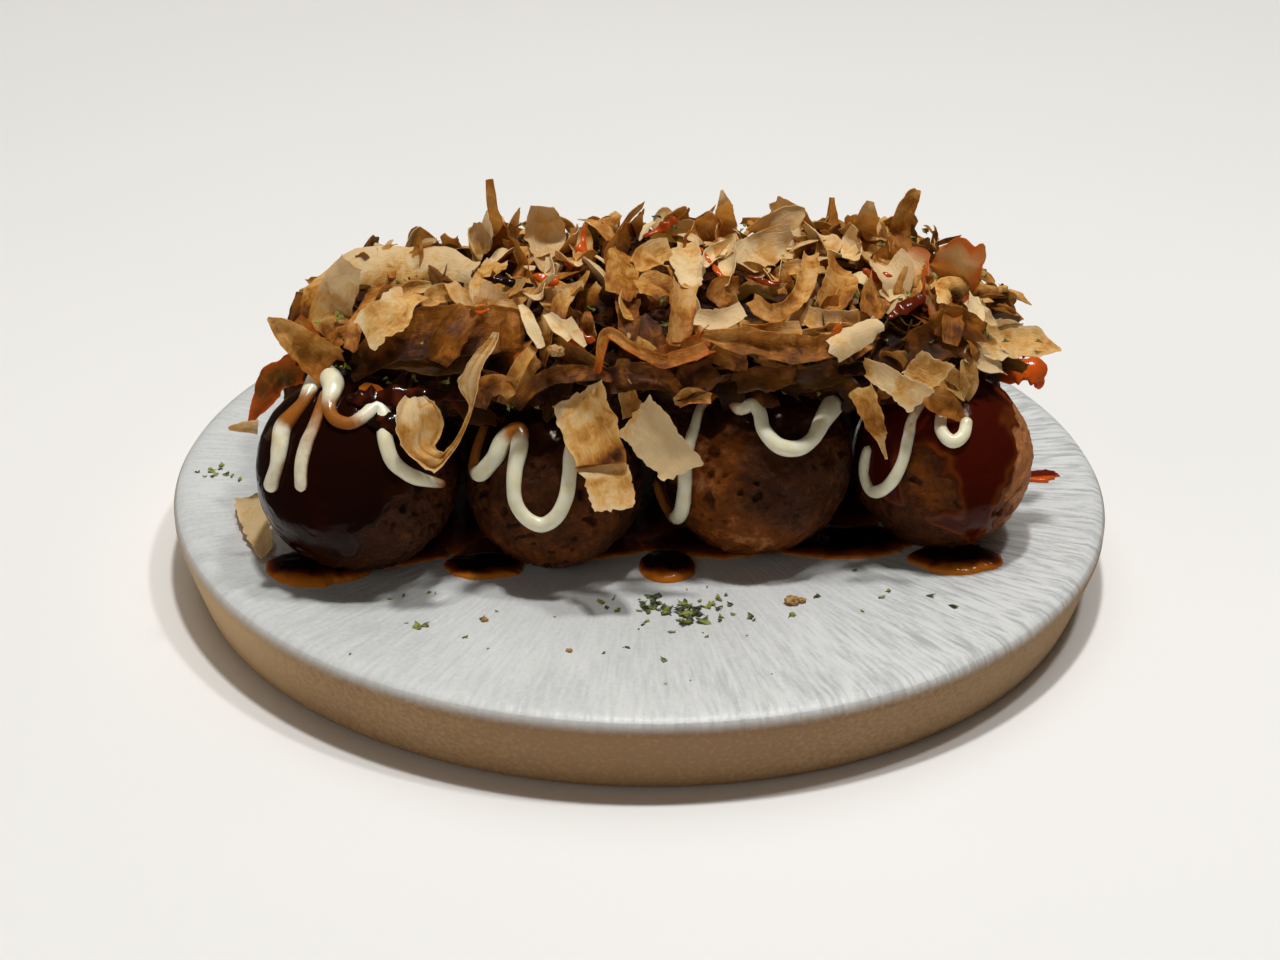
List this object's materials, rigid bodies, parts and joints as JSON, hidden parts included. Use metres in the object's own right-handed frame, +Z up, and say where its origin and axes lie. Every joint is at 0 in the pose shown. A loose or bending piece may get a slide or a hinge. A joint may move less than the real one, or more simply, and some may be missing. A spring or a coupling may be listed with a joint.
{
  "type": "plate of takoyaki",
  "caption": "Round octopus batter balls in rows on a thick flat round plate, glazed with brown sauce, piped with mayonnaise and heaped with bonito shavings.",
  "frame": {"origin": "centre of the plate's flat underside, on the table", "axes": "+Z up; -Y towards the diner, the side that the front row of balls faces; +X to the diner's right"},
  "size_m": [0.2, 0.2, 0.0884],
  "materials": {
    "stoneware": "satin",
    "batter": "gloss",
    "mayonnaise": "gloss",
    "bonito": "matte"
  },
  "bodies": {
    "root": {"ball_back_1": "batter", "ball_back_2": "batter", "ball_back_3": "batter", "ball_back_4": "batter", "ball_front_1": "batter", "ball_front_2": "batter", "ball_front_3": "batter", "ball_front_4": "batter", "mayo_back_1": "mayonnaise", "mayo_back_2": "mayonnaise", "mayo_back_3": "mayonnaise", "mayo_back_4": "mayonnaise", "mayo_front_1": "mayonnaise", "mayo_front_1_inner": "mayonnaise", "mayo_front_2": "mayonnaise", "mayo_front_3": "mayonnaise", "mayo_front_4": "mayonnaise", "plate": "stoneware", "shaving_curl": "bonito", "shaving_folded": "bonito", "shaving_left": "bonito", "shaving_long": "bonito", "shaving_middle": "bonito", "shaving_on_plate": "bonito", "shaving_pointed": "bonito", "shaving_right": "bonito", "shaving_square": "bonito", "shavings_heap": "bonito"}
  },
  "joints": []
}
